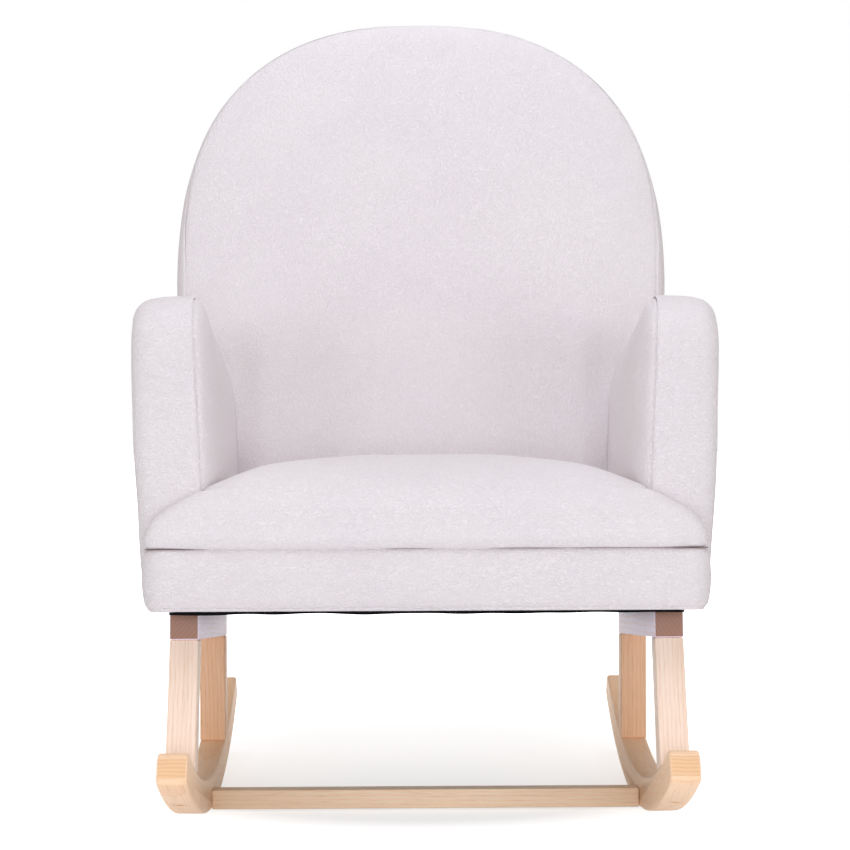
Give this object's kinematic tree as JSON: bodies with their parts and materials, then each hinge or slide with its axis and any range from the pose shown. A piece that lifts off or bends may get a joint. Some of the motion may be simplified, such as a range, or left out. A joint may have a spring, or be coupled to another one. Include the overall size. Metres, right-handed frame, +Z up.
{
  "type": "rocking chair",
  "caption": "Upholstered rocking armchair: rounded tub body with a high arched back and padded arms, on a light wood base with two curved rocker rails.",
  "frame": {"origin": "on the floor, under the middle of the chair's outline", "axes": "+Z up; the chair faces -Y; +X is to the right as seen from the front"},
  "size_m": [0.6744, 0.7263, 1.0033],
  "materials": {
    "light_wood": "pale natural wood with a satin clear coat",
    "dowel_wood": "plain turned beech, unfinished",
    "fastener_steel": "zinc-plated steel",
    "black_lining": "thin black non-woven lining, matt",
    "frame_wood": "unfinished pale frame wood and plywood",
    "webbing": "woven elastic straps, matt",
    "foam": "cream upholstery foam with wadding, matt",
    "stiffener_board": "thin hardboard, matt",
    "pile_fabric": "off-white looped pile fabric, soft and matt"
  },
  "bodies": {
    "root": {"rocker_rail_left": "light_wood", "rocker_rail_right": "light_wood", "front_leg_left": "light_wood", "front_leg_right": "light_wood", "rear_leg_left": "light_wood", "rear_leg_right": "light_wood", "seat_bearer_left": "light_wood", "seat_bearer_right": "light_wood", "crossbar": "light_wood", "crossbar_dowels": "dowel_wood", "leg_dowels": "dowel_wood", "leg_screws": "fastener_steel", "bearer_bolts": "fastener_steel", "bearer_washers": "fastener_steel", "tee_nuts": "fastener_steel", "dust_cover": "black_lining", "seat_front_rail": "frame_wood", "seat_rear_rail": "frame_wood", "seat_side_rail_left": "frame_wood", "seat_side_rail_right": "frame_wood", "corner_blocks": "frame_wood", "seat_webbing_lengthwise": "webbing", "seat_webbing_crosswise": "webbing", "seat_foam": "foam", "seat_cover": "pile_fabric", "apron_foam": "foam", "apron_cover": "pile_fabric", "arm_panel_left": "frame_wood", "arm_panel_right": "frame_wood", "arm_foam_left": "foam", "arm_foam_right": "foam", "arm_band_left": "pile_fabric", "arm_band_right": "pile_fabric", "arm_inner_cover_left": "pile_fabric", "arm_inner_cover_right": "pile_fabric", "arm_outer_cover_left": "pile_fabric", "arm_outer_cover_right": "pile_fabric", "back_post_left": "frame_wood", "back_post_right": "frame_wood", "back_arch": "frame_wood", "back_bottom_rail": "frame_wood", "back_lumbar_rail": "frame_wood", "back_webbing": "webbing", "back_foam": "foam", "back_stiffener": "stiffener_board", "back_front_cover": "pile_fabric", "back_band_cover": "pile_fabric", "back_rear_cover": "pile_fabric", "frame_screws": "fastener_steel"}
  },
  "joints": []
}
